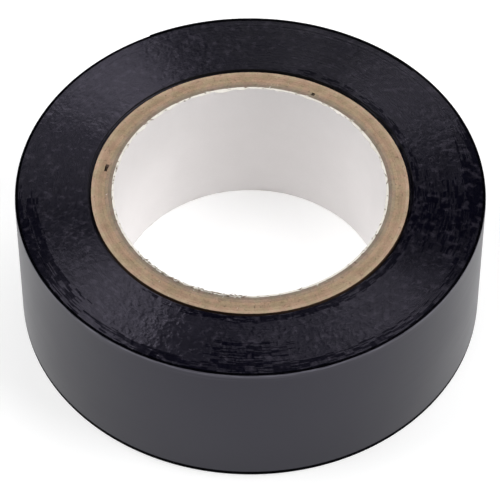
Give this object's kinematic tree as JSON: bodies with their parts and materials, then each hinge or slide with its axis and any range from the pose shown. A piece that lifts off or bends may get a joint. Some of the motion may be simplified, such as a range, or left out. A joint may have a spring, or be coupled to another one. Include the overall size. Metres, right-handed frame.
{
  "type": "electrical tape roll",
  "caption": "Roll of black PVC electrical tape on a spiral-wound paper core with a white-lined bore, with a free end that peels off the roll.",
  "frame": {"origin": "centre of the lower side face, on the roll's axis, on the surface that the roll lies on", "axes": "+Z along the roll's axis, from the lower side face to the upper one; +Y towards the back, where the tape's free end lies"},
  "size_m": [0.0551, 0.0552, 0.019],
  "materials": {
    "black_pvc": "satin",
    "kraft_paper": "matte",
    "white_paper": "matte"
  },
  "bodies": {
    "roll": {"core_liner": "white_paper", "core_ply_1": "kraft_paper", "core_ply_2": "kraft_paper", "core_ply_3": "kraft_paper", "core_ply_4": "kraft_paper", "core_ply_5": "kraft_paper", "core_ply_6": "kraft_paper", "tape_wound_turns": "black_pvc", "tape_outer_turn": "black_pvc"},
    "free_end_1": {"tape_free_end_1": "black_pvc"},
    "free_end_2": {"tape_free_end_2": "black_pvc"},
    "free_end_3": {"tape_free_end_3": "black_pvc"},
    "free_end_4": {"tape_free_end_4": "black_pvc"},
    "free_end_5": {"tape_free_end_5": "black_pvc"},
    "free_end_6": {"tape_free_end_6": "black_pvc"},
    "free_end_7": {"tape_free_end_7": "black_pvc"},
    "free_end_8": {"tape_free_end_8": "black_pvc"}
  },
  "joints": [
    {"name": "peel", "type": "hinge", "parent": "roll", "child": "free_end_1", "pos_m": [0.01055, 0.02546, 0.0095], "axis": [0, 0, -1], "range_deg": [0, 15]},
    {"name": "bend_2", "type": "hinge", "parent": "free_end_1", "child": "free_end_2", "pos_m": [0.00886, 0.0261, 0.0095], "axis": [0, 0, -1], "range_deg": [0, 15]},
    {"name": "bend_3", "type": "hinge", "parent": "free_end_2", "child": "free_end_3", "pos_m": [0.00713, 0.02662, 0.0095], "axis": [0, 0, -1], "range_deg": [0, 15]},
    {"name": "bend_4", "type": "hinge", "parent": "free_end_3", "child": "free_end_4", "pos_m": [0.00538, 0.02703, 0.0095], "axis": [0, 0, -1], "range_deg": [0, 15]},
    {"name": "bend_5", "type": "hinge", "parent": "free_end_4", "child": "free_end_5", "pos_m": [0.0036, 0.02733, 0.0095], "axis": [0, 0, -1], "range_deg": [0, 15]},
    {"name": "bend_6", "type": "hinge", "parent": "free_end_5", "child": "free_end_6", "pos_m": [0.0018, 0.02751, 0.0095], "axis": [0, 0, -1], "range_deg": [0, 15]},
    {"name": "bend_7", "type": "hinge", "parent": "free_end_6", "child": "free_end_7", "pos_m": [0, 0.02757, 0.0095], "axis": [0, 0, -1], "range_deg": [0, 15]},
    {"name": "bend_8", "type": "hinge", "parent": "free_end_7", "child": "free_end_8", "pos_m": [-0.0018, 0.02751, 0.0095], "axis": [0, 0, -1], "range_deg": [0, 15]}
  ],
  "couplings": [
    {"joint": "bend_2", "follows": "peel", "ratio": 1},
    {"joint": "bend_3", "follows": "peel", "ratio": 1},
    {"joint": "bend_4", "follows": "peel", "ratio": 1},
    {"joint": "bend_5", "follows": "peel", "ratio": 1},
    {"joint": "bend_6", "follows": "peel", "ratio": 1},
    {"joint": "bend_7", "follows": "peel", "ratio": 1},
    {"joint": "bend_8", "follows": "peel", "ratio": 1}
  ]
}
